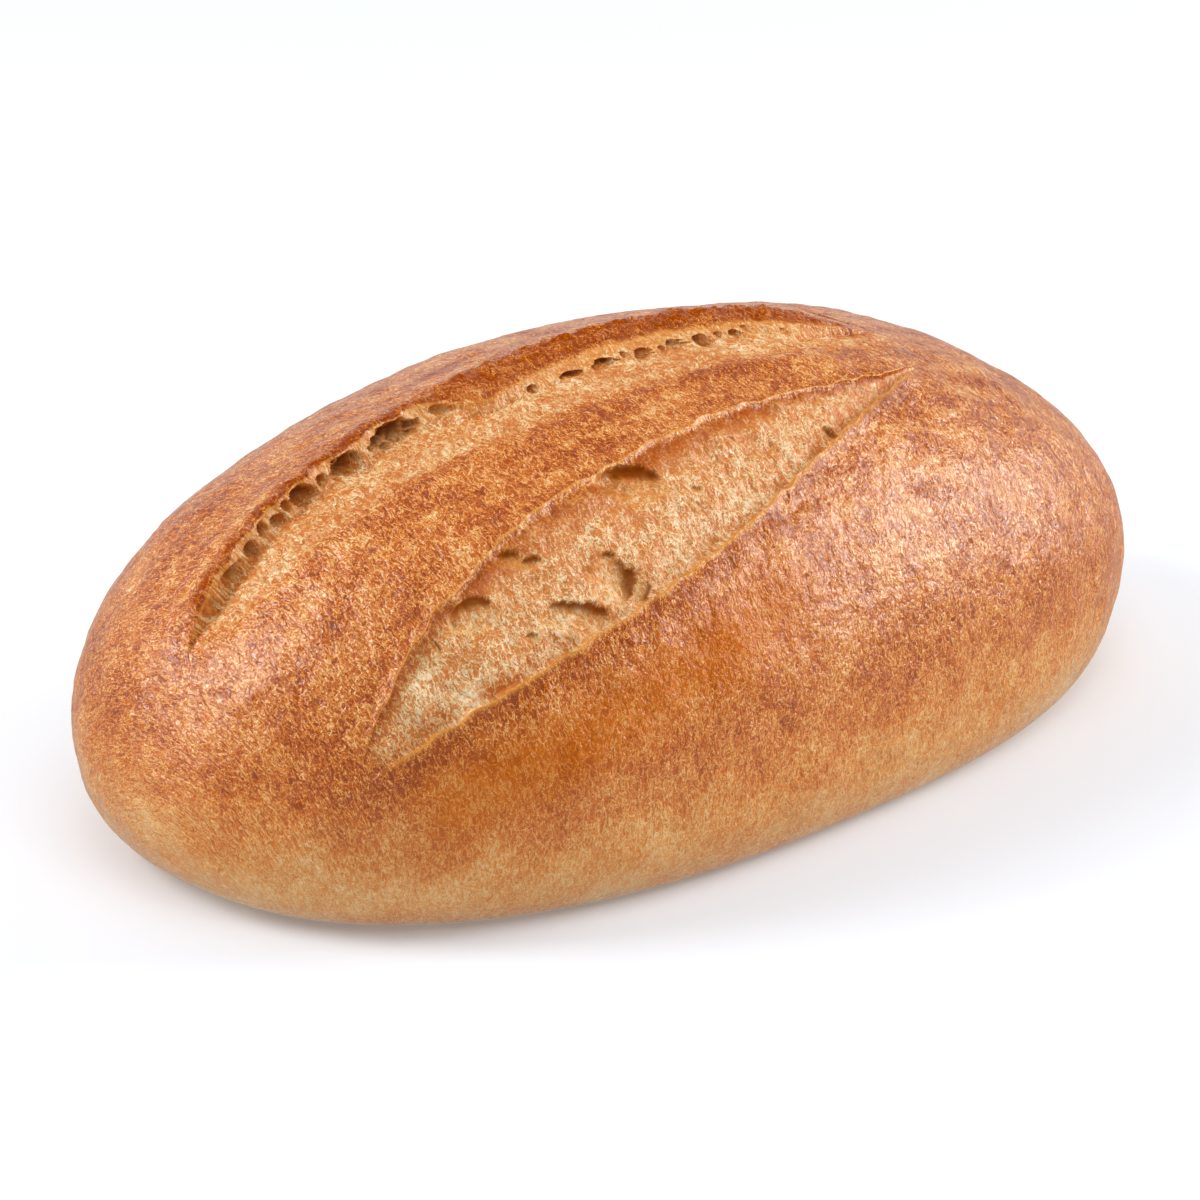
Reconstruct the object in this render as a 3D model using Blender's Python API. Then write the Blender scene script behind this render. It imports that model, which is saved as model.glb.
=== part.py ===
"""A free-baked loaf of spelt bread: one crusted solid with two long cuts that opened in the oven.

Metres, +Z up. The origin is the middle of the loaf's box at its base, +X runs along the loaf from its
nose to its tail, and -Y is the side that the front cut leans to.

The skin is read by two angles. The station runs from a pole under the nose to a pole under the tail,
and the turn runs round the loaf from straight down, up the -Y side, over the crest and down the +Y
side. Each edge of a cut is the blade's straight line in those angles, bowed where the dough burst.
"""

import math

import bmesh
import bpy
import numpy as np
from mathutils import Matrix

# The whole loaf
LENGTH = 0.240
WIDTH = 0.140
HEIGHT = 0.0825  # of the uncut arch, which the ear beside the back cut passes a little
WAIST_HEIGHT = 0.0227  # where the outline is widest
BASE_SHARE = 0.86  # the flat base's outline as a share of the widest one
NOSE_POWER = 2.34  # roundness of the plan at -X: 2 is an ellipse, more is squarer
TAIL_POWER = 2.51
ARCH_POWER = 2.07  # the same for the arch over the waist
ARCH_LEAN = -0.0021  # the crest stands this far towards -Y
ARCH_SLOPE = -0.028  # the crest falls this much for each metre towards +X
POLE_SINK = 0.35  # draws the two poles down under the nose and the tail
ROUNDING_SHARE = 0.31  # share of the lower half's angle that rounds from the waist to the base

# The two cuts' ends as (station, turn) in degrees
FRONT_CUT = ((39.0, 125.0), (115.0, 158.0))
BACK_CUT = ((35.0, 176.5), (118.0, 166.0))

# Their edges, front to back, as (widest bow in degrees, fullness at the start, fullness at the end)
FRONT_LIP = (-10.2, 1.60, 1.35)
FRONT_EDGE = (16.0, 0.65, 1.70)
STRIP_EDGE = (-5.0, 0.30, 0.30)
PORE_LINE = (9.0, 0.50, 2.00)
EAR_RIDGE = (18.5, 0.30, 0.16)
NARROW_SHELF = 1.5  # degrees between the ear's ridge and its lip in the cut's first part
WIDE_SHELF = 10.0
SHELF_STEP = (0.41, 0.47)  # shares of the cut's length between which the shelf widens
FRONT_GAP = 1.8  # degrees that stay between the front cut's edges past its ends
BACK_GAP = 0.9

# Relief across the cuts
LIP_LIFT = 0.0009
LIP_UNDERCUT = 0.0005
FRONT_DEPTH = 0.0026
FLAP_LIFT = 0.0005
STRIP_DEPTH = 0.0022
PORE_DEPTH = 0.0042
EAR_LIFT = 0.0020
EAR_OVERHANG = 0.0018
TIP_SHARE = 0.10  # share of a cut's length over which its relief fades in

# The largest gas pores: place in plan, then half length, half width and depth
PORES = (
    (-0.0340, -0.0390, 0.0060, 0.0042, 0.0045),
    (-0.0490, -0.0500, 0.0034, 0.0040, 0.0045),
    (-0.0600, -0.0520, 0.0062, 0.0030, 0.0035),
    (-0.0775, -0.0425, 0.0042, 0.0028, 0.0035),
    (0.0145, -0.0420, 0.0021, 0.0021, 0.0040),
    (-0.0780, 0.0030, 0.0048, 0.0030, 0.0045),
    (-0.0640, 0.0010, 0.0056, 0.0034, 0.0050),
    (-0.0530, 0.0000, 0.0044, 0.0028, 0.0048),
    (-0.0150, -0.0080, 0.0040, 0.0022, 0.0045),
    (0.0120, -0.0090, 0.0036, 0.0022, 0.0045),
)
PORE_TILT = math.radians(8)  # the pores lie along the cuts

# How finely the skin is divided
RINGS = 84
FRONT_COLUMNS = 12
BAND_COLUMNS = 4
BACK_COLUMNS = 12

CRUST_COLOUR = (0.55, 0.20, 0.055, 1.0)
CRUST_ROUGHNESS = 0.45


def skin(station, turn):
    """Points of the uncut loaf at two arrays of angles: an arch on a rounded, flat-based lower half."""
    x = -np.cos(station) + 0 * turn
    y = -np.sin(station) * np.sin(turn)
    z = -np.sin(station) * np.cos(turn) - POLE_SINK * x**2
    power = np.where(x < 0, NOSE_POWER, TAIL_POWER)
    level = np.maximum(np.hypot(x, y), 1e-12)
    along, across = x / level, y / level
    plan = (np.abs(along) ** power + np.abs(across) ** power) ** (1 / power)

    from_top = np.arctan2(level, np.maximum(z, 0))
    arch = (np.sin(from_top) ** ARCH_POWER + np.cos(from_top) ** ARCH_POWER) ** (1 / ARCH_POWER)
    upper_share = np.sin(from_top) / arch
    upper_height = WAIST_HEIGHT + (HEIGHT - WAIST_HEIGHT) * np.cos(from_top) / arch

    below = np.arctan2(np.maximum(-z, 0), level) / (math.pi / 2)
    rounding = np.minimum(below / ROUNDING_SHARE, 1) * math.pi / 2
    inwards = np.minimum((1 - below) / (1 - ROUNDING_SHARE), 1)
    lower_share = (BASE_SHARE + (1 - BASE_SHARE) * np.cos(rounding)) * inwards
    lower_height = WAIST_HEIGHT * (1 - np.sin(rounding))

    share = np.where(z >= 0, upper_share, lower_share)
    height = np.where(z >= 0, upper_height, lower_height)
    over = np.clip((height - WAIST_HEIGHT) / (HEIGHT - WAIST_HEIGHT), 0, 1)
    px = LENGTH / 2 * along / plan * share
    py = WIDTH / 2 * across / plan * share + ARCH_LEAN * over
    return np.stack([px, py, height + ARCH_SLOPE * px * over], -1)


def unit(vectors):
    return vectors / np.maximum(np.linalg.norm(vectors, axis=-1, keepdims=True), 1e-15)


def skin_frame(station, turn):
    """The skin's points, their outward normals and the sideways directions from front to back."""
    step = 1e-4
    sideways = unit(skin(station, turn + step) - skin(station, turn - step))
    lengthways = unit(skin(station + step, turn) - skin(station - step, turn))
    return skin(station, turn), unit(np.cross(lengthways, sideways)), sideways


def share_along(cut, station):
    """How far along a cut each station lies, from 0 at its start to 1 at its end."""
    (start, _), (end, _) = cut
    return np.clip((np.degrees(station) - start) / (end - start), 0, 1)


def edge(cut, shape, station):
    """Turn in degrees of one edge of a cut at each station."""
    (_, start), (_, end) = cut
    bow, rise, fall = shape
    t = share_along(cut, station)
    fullest = rise / (rise + fall)
    lens = (t / fullest) ** rise * ((1 - t) / (1 - fullest)) ** fall
    return start + (end - start) * t + bow * lens


def smooth_step(value, low, high):
    t = np.clip((value - low) / (high - low), 0, 1)
    return t**2 * (3 - 2 * t)


def cut_edges(station):
    """Turns in degrees of all the lines that divide a ring, from straight down and round again."""
    lip = edge(FRONT_CUT, FRONT_LIP, station)
    upper = np.maximum(edge(FRONT_CUT, FRONT_EDGE, station), lip + FRONT_GAP)
    ridge = edge(BACK_CUT, EAR_RIDGE, station)
    strip = np.minimum(edge(BACK_CUT, STRIP_EDGE, station), ridge - 3 * BACK_GAP)
    pore_line = np.maximum(edge(BACK_CUT, PORE_LINE, station), strip + BACK_GAP)
    widening = smooth_step(share_along(BACK_CUT, station), *SHELF_STEP)
    shelf = NARROW_SHELF + (WIDE_SHELF - NARROW_SHELF) * widening
    ear_lip = np.clip(ridge - shelf, pore_line + BACK_GAP, ridge - BACK_GAP)
    pore_line = np.minimum(pore_line, ear_lip - BACK_GAP)
    return np.stack([0 * lip, lip, upper, strip, pore_line, ear_lip, ridge, 0 * lip + 360], -1)


def ring_columns():
    """One ring's columns as (zone, share of that zone, lift off the skin, slide towards the back)."""
    front_side, front_cut, band, strip, wall, shelf, back_side = range(7)
    columns = [(front_side, k / FRONT_COLUMNS, 0, 0) for k in range(FRONT_COLUMNS)]
    columns += [
        (front_side, 0.97, 0.6 * LIP_LIFT, 0),
        (front_cut, 0.00, LIP_LIFT, 0),
        (front_cut, 0.05, -0.2 * FRONT_DEPTH, -LIP_UNDERCUT),
        (front_cut, 0.12, -FRONT_DEPTH, -LIP_UNDERCUT),
        (front_cut, 0.30, -0.80 * FRONT_DEPTH, 0),
        (front_cut, 0.52, -0.55 * FRONT_DEPTH, 0),
        (front_cut, 0.76, -0.35 * FRONT_DEPTH, 0),
        (front_cut, 0.95, -0.20 * FRONT_DEPTH, 0),
        (band, 0.00, FLAP_LIFT, 0),
    ]
    columns += [(band, (k + 0.5) / BAND_COLUMNS, 0, 0) for k in range(BAND_COLUMNS)]
    columns += [
        (strip, 0.00, 0, 0),
        (strip, 0.35, -0.35 * STRIP_DEPTH, 0),
        (strip, 0.75, -STRIP_DEPTH, 0),
        (wall, 0.00, -PORE_DEPTH, 0),
        (wall, 0.55, -PORE_DEPTH, 0),
        (wall, 0.80, -0.3 * PORE_DEPTH, 0),
        (wall, 0.92, 0.25 * EAR_LIFT, -EAR_OVERHANG),
        (shelf, 0.00, 0.50 * EAR_LIFT, -EAR_OVERHANG),
        (shelf, 0.40, 0.85 * EAR_LIFT, -0.5 * EAR_OVERHANG),
        (back_side, 0.00, EAR_LIFT, 0),
        (back_side, 0.04, 0.6 * EAR_LIFT, 0),
    ]
    columns += [(back_side, k / BACK_COLUMNS, 0, 0) for k in range(1, BACK_COLUMNS)]
    return columns


def fade(share):
    """1 along a cut, falling smoothly to 0 at both of its ends."""
    return smooth_step(np.minimum(share, 1 - share), 0, TIP_SHARE)


def loaf_rings():
    """Points of every ring, from the nose's pole to the tail's, with the cuts worked into the skin."""
    station = math.pi * (np.arange(RINGS) + 0.5) / RINGS
    edges = np.radians(cut_edges(station))
    columns = ring_columns()
    zone = np.array([column[0] for column in columns])
    share, lift, slide = np.array([column[1:] for column in columns], float).T
    turn = edges[:, zone] + (edges[:, zone + 1] - edges[:, zone]) * share
    point, normal, sideways = skin_frame(station[:, None], turn)
    in_front_cut = (zone <= 1) | ((zone == 2) & (share == 0))
    front_fade = fade(share_along(FRONT_CUT, station))[:, None]
    back_fade = fade(share_along(BACK_CUT, station))[:, None]
    amount = np.where(in_front_cut, front_fade, back_fade)[..., None]
    return point + amount * (lift[:, None] * normal + slide[:, None] * sideways)


def mesh_of_rings(name, rings):
    """A closed mesh: the rings joined one to the next, and a fan to a pole at each end."""
    shape = bmesh.new()
    grid = [[shape.verts.new(point) for point in ring] for ring in rings]
    columns = len(grid[0])
    for ring, following in zip(grid, grid[1:]):
        for k in range(columns):
            after = (k + 1) % columns
            shape.faces.new((ring[k], ring[after], following[after], following[k]))
    for ring, station in ((grid[0], 0.0), (grid[-1], math.pi)):
        pole = shape.verts.new(skin(np.array([station]), np.array([0.0]))[0])
        for k in range(columns):
            shape.faces.new((pole, ring[k], ring[(k + 1) % columns]))
    bmesh.ops.recalc_face_normals(shape, faces=shape.faces)
    mesh = bpy.data.meshes.new(name)
    shape.to_mesh(mesh)
    shape.free()
    return mesh


def pore_cutters(loaf):
    """One ellipsoid for each large pore, lying on the loaf and sunk by its depth, all in one mesh."""
    shape = bmesh.new()
    for x, y, half_length, half_width, depth in PORES:
        _, surface, _, _ = loaf.ray_cast((x, y, 2 * HEIGHT), (0, 0, -1))
        place = Matrix.Translation(surface) @ Matrix.Rotation(PORE_TILT, 4, "Z")
        size = Matrix.Diagonal((half_length, half_width, depth, 1))
        bmesh.ops.create_uvsphere(shape, u_segments=14, v_segments=9, radius=1, matrix=place @ size)
    mesh = bpy.data.meshes.new("pore_cutters")
    shape.to_mesh(mesh)
    shape.free()
    cutters = bpy.data.objects.new("pore_cutters", mesh)
    cutters.hide_render = True
    cutters.display_type = "WIRE"
    bpy.context.scene.collection.objects.link(cutters)
    return cutters


def crust_material():
    """Baked crust: reddish brown with the dull gloss of starch."""
    material = bpy.data.materials.new("baked_crust")
    material.use_nodes = True
    shader = material.node_tree.nodes["Principled BSDF"]
    shader.inputs["Base Color"].default_value = CRUST_COLOUR
    shader.inputs["Roughness"].default_value = CRUST_ROUGHNESS
    shader.inputs["Metallic"].default_value = 0.0
    return material


def main():
    for old in list(bpy.data.objects):
        bpy.data.objects.remove(old)
    loaf = bpy.data.objects.new("loaf", mesh_of_rings("loaf", loaf_rings()))
    bpy.context.scene.collection.objects.link(loaf)
    bpy.context.view_layer.update()
    loaf.data.materials.append(crust_material())
    pores = loaf.modifiers.new("pores", "BOOLEAN")
    pores.operation = "DIFFERENCE"
    pores.object = pore_cutters(loaf)
    loaf.data.shade_smooth()


main()
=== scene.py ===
"""Looks of a free-baked loaf of spelt bread with two cuts that opened in the oven.

The loaf's skin is one surface read by two angles, in metres. The station runs from a pole under the
nose (-X) to a pole under the tail (+X). The turn runs round the loaf from straight down, up the -Y
side, over the crest and down the +Y side. Each piece is a patch of that skin, with its own relief,
closed to the loaf's middle like a slice of an orange, so that neighbours meet edge to edge.
"""

from __future__ import annotations

import logging
import math
from dataclasses import dataclass
from enum import Enum

import bpy
import numpy as np
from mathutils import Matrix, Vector


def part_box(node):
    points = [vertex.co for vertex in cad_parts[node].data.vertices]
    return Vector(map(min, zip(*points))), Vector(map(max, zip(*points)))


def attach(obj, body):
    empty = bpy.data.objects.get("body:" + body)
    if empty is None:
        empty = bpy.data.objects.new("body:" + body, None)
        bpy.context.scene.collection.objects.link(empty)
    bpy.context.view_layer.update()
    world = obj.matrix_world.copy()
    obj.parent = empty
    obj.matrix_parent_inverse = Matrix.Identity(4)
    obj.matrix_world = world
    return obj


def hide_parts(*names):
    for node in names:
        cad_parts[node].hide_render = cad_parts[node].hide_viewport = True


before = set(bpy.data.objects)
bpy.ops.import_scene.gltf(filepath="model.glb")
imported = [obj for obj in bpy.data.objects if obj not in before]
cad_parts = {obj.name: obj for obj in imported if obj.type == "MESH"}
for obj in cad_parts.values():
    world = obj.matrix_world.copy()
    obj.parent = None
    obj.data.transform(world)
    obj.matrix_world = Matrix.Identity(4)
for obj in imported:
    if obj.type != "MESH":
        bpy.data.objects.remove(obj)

Array = np.ndarray
Piece = bpy.types.Object
Node = bpy.types.Node
Tree = bpy.types.NodeTree
Socket = bpy.types.NodeSocket
Length = Array | float

log = logging.getLogger("spelt_loaf")
MM = 0.001
BODY = "root"
CAD_NODE = "loaf"
CHART = "chart"
EAR_RISE = 1.8 * MM  # of the ear's ridge over the uncut loaf's crest


class Line(Enum):
    """Lines that run along the loaf and divide its skin, in the order of their turns."""

    FRONT_FOOT = "front_foot"
    FRONT_OUTER = "front_outer"
    FRONT_LIP = "front_lip"
    FRONT_BED = "front_bed"
    FRONT_EDGE = "front_edge"
    FRONT_INNER = "front_inner"
    BACK_OUTER = "back_outer"
    STRIP = "strip"
    PORE_FOOT = "pore_foot"
    EAR_LIP = "ear_lip"
    EAR_RIDGE = "ear_ridge"
    BACK_INNER = "back_inner"
    BACK_FOOT = "back_foot"


class Mark(Enum):
    """Values that a mesh carries at each point for its material to read."""

    BAKE = "bake"
    # The thin lips' own yellow-orange, and painted light on pore floors, lower pore rims and the front
    # ridge's edge.
    RIM_AND_PAINTED_LIGHT = "rim"
    # Painted shade in pores, in caves and under the front ridge; on the ear's ridge, its own darker tone.
    PAINTED_SHADE_AND_RIDGE_TONE = "painted_shade_and_ridge_tone"
    CRUMB = "crumb"
    AMBER = "amber"


def smooth_step(value: Array, low: float, high: float) -> Array:
    """0 below low, 1 above high, and the cubic 3t2 - 2t3 between them."""
    t = np.clip((value - low) / (high - low), 0, 1)
    return t**2 * (3 - 2 * t)


def bell(value: Array, middle: float, spread: float) -> Array:
    """A Gaussian bell of height 1 at middle."""
    return np.exp(-(((value - middle) / spread) ** 2))


def within(station: Array, low: float, high: float) -> Array:
    """Those stations that lie from low to high, both in degrees."""
    degrees = np.degrees(station)
    return station[(degrees >= low - 1e-7) & (degrees <= high + 1e-7)]


def unit(vectors: Array) -> Array:
    """The vectors at length 1."""
    return vectors / np.maximum(np.linalg.norm(vectors, axis=-1, keepdims=True), 1e-15)


def linear(colour: str) -> tuple[float, float, float, float]:
    """Turns an sRGB hex colour into Blender's linear one.

    Args:
        colour: six hex digits after a hash.

    Returns:
        Red, green, blue and an alpha of 1.
    """
    shares = [int(colour[k : k + 2], 16) / 255 for k in (1, 3, 5)]
    red, green, blue = (s / 12.92 if s <= 0.04045 else ((s + 0.055) / 1.055) ** 2.4 for s in shares)
    return red, green, blue, 1.0


class Fold(Enum):
    """How a random field is folded where it crosses zero: not, down into creases or up into bubbles."""

    NONE = 0
    CREASES = -1
    BUBBLES = 1


@dataclass(frozen=True)
class Waves:
    """A smooth random field of mean 0, whose spread is its height.

    It is the sum of plane waves with random headings and phases, whose lengths lie within a third of
    an octave or so of the given one.
    """

    seed: int
    length: float
    height: float = 1.0
    stretch: tuple[float, float, float] = (1.0, 1.0, 1.0)
    fold: Fold = Fold.NONE
    count: int = 36

    def at(self, points: Array) -> Array:
        """Adds up the cosines of each point's phase in every wave.

        Args:
            points: places in metres, with three numbers in their last axis.

        Returns:
            One value for each place.
        """
        random = np.random.default_rng(self.seed)
        heading = unit(random.normal(size=(self.count, 3)))
        pace = 2 * math.pi / self.length * random.uniform(0.75, 1.35, (self.count, 1))
        waves = heading * pace / np.array(self.stretch)
        total = np.zeros(points.shape[:-1])
        for wave, phase in zip(waves, random.uniform(0, 2 * math.pi, self.count)):
            total += np.cos(points @ wave + phase)
        total *= math.sqrt(2 / self.count) * self.height
        return total if self.fold is Fold.NONE else self.fold.value * np.abs(total)


def added(fields: tuple[Waves, ...], points: Array) -> Array:
    """The sum of several random fields."""
    return sum(waves.at(points) for waves in fields)


@dataclass(frozen=True)
class LoafForm:
    """The uncut loaf: a superellipse in plan, an arch over its waist and a rounded lower part."""

    length: float
    width: float
    arch: float
    waist: float = 22.7 * MM
    base_share: float = 0.86
    nose_power: float = 2.34
    tail_power: float = 2.51
    arch_power: float = 2.07
    lean: float = -2.1 * MM
    slope: float = -0.028
    pole_sink: float = 0.35
    rounding_share: float = 0.31
    chart_length: float = 110 * MM  # of skin to a radian of station
    chart_girth: float = 66 * MM  # of skin to a radian of turn
    lumps: tuple[Waves, ...] = (
        Waves(11, 80 * MM, 0.42 * MM),
        Waves(12, 24 * MM, 0.16 * MM),
        Waves(13, 8 * MM, 0.075 * MM),
    )
    wrinkles: Waves = Waves(14, 3.4 * MM, 0.085 * MM, (1.0, 1.8, 1.0), Fold.CREASES)

    def skin(self, station: Array, turn: Array) -> Array:
        """Reads the uncut skin.

        Each pair of angles gives a direction from the loaf's middle. Above the waist it meets the
        arch, a superellipse in height over the plan's outline. Below, it follows a quarter ellipse
        down to the base and then runs straight in to its middle.

        Args:
            station: angles from the nose's pole, in radians.
            turn: angles round the loaf, in radians.

        Returns:
            Points in metres, with a last axis of three.
        """
        x = -np.cos(station) + 0 * turn
        y = -np.sin(station) * np.sin(turn)
        z = -np.sin(station) * np.cos(turn) - self.pole_sink * x**2
        power = np.where(x < 0, self.nose_power, self.tail_power)
        level = np.maximum(np.hypot(x, y), 1e-12)
        along, across = x / level, y / level
        plan = (np.abs(along) ** power + np.abs(across) ** power) ** (1 / power)

        from_top = np.arctan2(level, np.maximum(z, 0))
        sine, cosine = np.sin(from_top), np.cos(from_top)
        vault = (sine**self.arch_power + cosine**self.arch_power) ** (1 / self.arch_power)
        upper_height = self.waist + (self.arch - self.waist) * cosine / vault

        below = np.arctan2(np.maximum(-z, 0), level) / (math.pi / 2)
        rounding = np.minimum(below / self.rounding_share, 1) * math.pi / 2
        inwards = np.minimum((1 - below) / (1 - self.rounding_share), 1)
        lower_share = (self.base_share + (1 - self.base_share) * np.cos(rounding)) * inwards
        lower_height = self.waist * (1 - np.sin(rounding))

        share = np.where(z >= 0, sine / vault, lower_share)
        height = np.where(z >= 0, upper_height, lower_height)
        over = np.clip((height - self.waist) / (self.arch - self.waist), 0, 1)
        px = self.length / 2 * along / plan * share
        py = self.width / 2 * across / plan * share + self.lean * over
        return np.stack([px, py, height + self.slope * px * over], -1)

    def directions(self, station: Array, turn: Array) -> tuple[Array, Array]:
        """Reads the uncut skin's directions by finite differences.

        Args:
            station: angles in radians.
            turn: angles in radians.

        Returns:
            Outward normals, and sideways directions from front to back.
        """
        step = 1e-4
        sideways = unit(self.skin(station, turn + step) - self.skin(station, turn - step))
        lengthways = unit(self.skin(station + step, turn) - self.skin(station - step, turn))
        return unit(np.cross(lengthways, sideways)), sideways

    def chart(self, station: Array, turn: Array) -> Array:
        """Lays the skin flat: the station along it, the turn from the crest across it.

        Args:
            station: angles in radians.
            turn: angles in radians.

        Returns:
            Places in metres, with a last axis of three.
        """
        u = self.chart_length * station + 0 * turn
        v = self.chart_girth * (turn - math.pi) * np.sin(station)
        return np.stack([u, v, 0 * u], -1)

    def welt(self, station: Array, turn: Array, spread: float) -> Array:
        """A long low ridge between the cuts, where the dough stretched: a bell about a falling curve.

        Args:
            station: angles in radians.
            turn: angles in radians.
            spread: the bell's spread across the loaf, in metres.

        Returns:
            1 on the ridge's crest, 0 far from it.
        """
        degrees = np.degrees(station)
        curve = 162.8 + 8.5 * np.exp(-(degrees - 53) / 16)
        across = self.chart_girth * np.radians(np.degrees(turn) - curve)
        return bell(across, 0, spread) * smooth_step(degrees, 46, 56) * (1 - smooth_step(degrees, 96, 106))

    def seam(self, station: Array, turn: Array) -> Array:
        """A fine crease in front of the welt: a narrow bell about a curve that falls to the tail.

        Args:
            station: angles in radians.
            turn: angles in radians.

        Returns:
            1 on the crease, 0 beside it.
        """
        degrees = np.degrees(station)
        curve = 161.8 - 0.0051 * np.maximum(degrees - 62, 0) ** 2
        across = self.chart_girth * np.radians(np.degrees(turn) - curve)
        return bell(across, 0, 0.45 * MM) * smooth_step(degrees, 50, 56) * (1 - smooth_step(degrees, 88, 96))

    def relief(self, station: Array, turn: Array) -> Array:
        """Height of the baked skin over the plain form: lumps, dimples, puckers and short wrinkles.

        All of it dies away towards the base, which the oven's floor kept flat.

        Args:
            station: angles in radians.
            turn: angles in radians.

        Returns:
            Heights in metres.
        """
        points = self.skin(station, turn)
        height = added(self.lumps, points) + self.wrinkles.at(self.chart(station, turn))
        height += 0.28 * MM * self.welt(station, turn, 1.8 * MM) + 0.12 * MM * self.seam(station, turn)
        return height * smooth_step(points[..., 2], 0.5 * MM, 14 * MM)

    def surface(self, station: Array, turn: Array, lift: Length = 0.0, slide: Length = 0.0) -> Array:
        """Reads the baked skin.

        Args:
            station: angles in radians.
            turn: angles in radians.
            lift: metres by which the skin is raised off itself.
            slide: metres by which it is moved towards the back.

        Returns:
            Points in metres, with a last axis of three.
        """
        normal, sideways = self.directions(station, turn)
        rise = self.relief(station, turn) + lift
        moved = (slide + 0 * rise)[..., None] * sideways
        return self.skin(station, turn) + rise[..., None] * normal + moved

    def outline_normals(self, station: Array, turn: Array) -> Array:
        """Normals of the baked skin along a patch's four sides, by finite differences.

        Args:
            station: the patch's rings, as a column.
            turn: the patch's turns.

        Returns:
            A normal for each point of the patch, and zeros inside its outline.
        """
        whole, step = station + 0 * turn, 1.5e-3
        normals = np.zeros((*turn.shape, 3))
        for side in (np.s_[:, [0, -1]], np.s_[[0, -1], :]):
            along, round_it = whole[side], turn[side]
            sideways = self.surface(along, round_it + step) - self.surface(along, round_it - step)
            lengthways = self.surface(along + step, round_it) - self.surface(along - step, round_it)
            normals[side] = unit(np.cross(lengthways, sideways))
        return normals

    def spine(self, station: Array) -> Array:
        """The middle of each ring, which the patches close to."""
        turns = np.linspace(0, 2 * math.pi, 12, endpoint=False)
        return self.skin(station[:, None], turns[None, :]).mean(1)


@dataclass(frozen=True)
class Bow:
    """How far an edge of a cut stands off the blade's line: a lens, fuller at one end or the other."""

    reach: float
    rise: float
    fall: float
    wobble: float = 0.0
    seed: int = 0

    def at(self, share: Array) -> Array:
        """Works out the edge's distance from the blade's line.

        The lens is t to the power rise times 1 - t to the power fall, scaled to reach at its fullest.
        The wobble is nine waves of 4 to 26 to the cut, which die away at its ends.

        Args:
            share: how far along the cut, from 0 to 1.

        Returns:
            Degrees of turn.
        """
        fullest = self.rise / (self.rise + self.fall)
        lens = (share / fullest) ** self.rise * ((1 - share) / (1 - fullest)) ** self.fall
        random = np.random.default_rng(self.seed)
        pace, phase = random.uniform(4, 26, 9), random.uniform(0, 2 * math.pi, 9)
        waves = np.cos(2 * math.pi * share[..., None] * pace + phase).mean(-1)
        return self.reach * lens + self.wobble * waves * smooth_step(np.minimum(share, 1 - share), 0, 0.1)


@dataclass(frozen=True)
class Cut:
    """One pass of the baker's blade, from (station, turn) to (station, turn) in degrees."""

    start: tuple[float, float]
    end: tuple[float, float]

    def share(self, station: Array) -> Array:
        """How far along the cut each station lies, from 0 to 1."""
        return np.clip((np.degrees(station) - self.start[0]) / (self.end[0] - self.start[0]), 0, 1)

    def line(self, station: Array) -> Array:
        """The blade's own line in degrees of turn, held level past its ends."""
        return self.start[1] + (self.end[1] - self.start[1]) * self.share(station)

    def edge(self, bow: Bow, station: Array) -> Array:
        """One edge of the cut in degrees of turn."""
        return self.line(station) + bow.at(self.share(station))

    def opening(self, station: Array, tip_share: float = 0.05) -> Array:
        """How far the cut is open.

        Args:
            station: angles in radians.
            tip_share: the share of the cut's length over which each end closes.

        Returns:
            1 along the cut, rounding to 0 at both ends like a half circle.
        """
        share = self.share(station)
        near = np.clip(np.minimum(share, 1 - share) / tip_share, 0, 1)
        return np.sqrt(1 - (1 - near) ** 2)

    def fade(self, station: Array, tip_share: float = 0.1) -> Array:
        """1 along the cut, falling smoothly to 0 at both ends."""
        share = self.share(station)
        return smooth_step(np.minimum(share, 1 - share), 0, tip_share)


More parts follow.
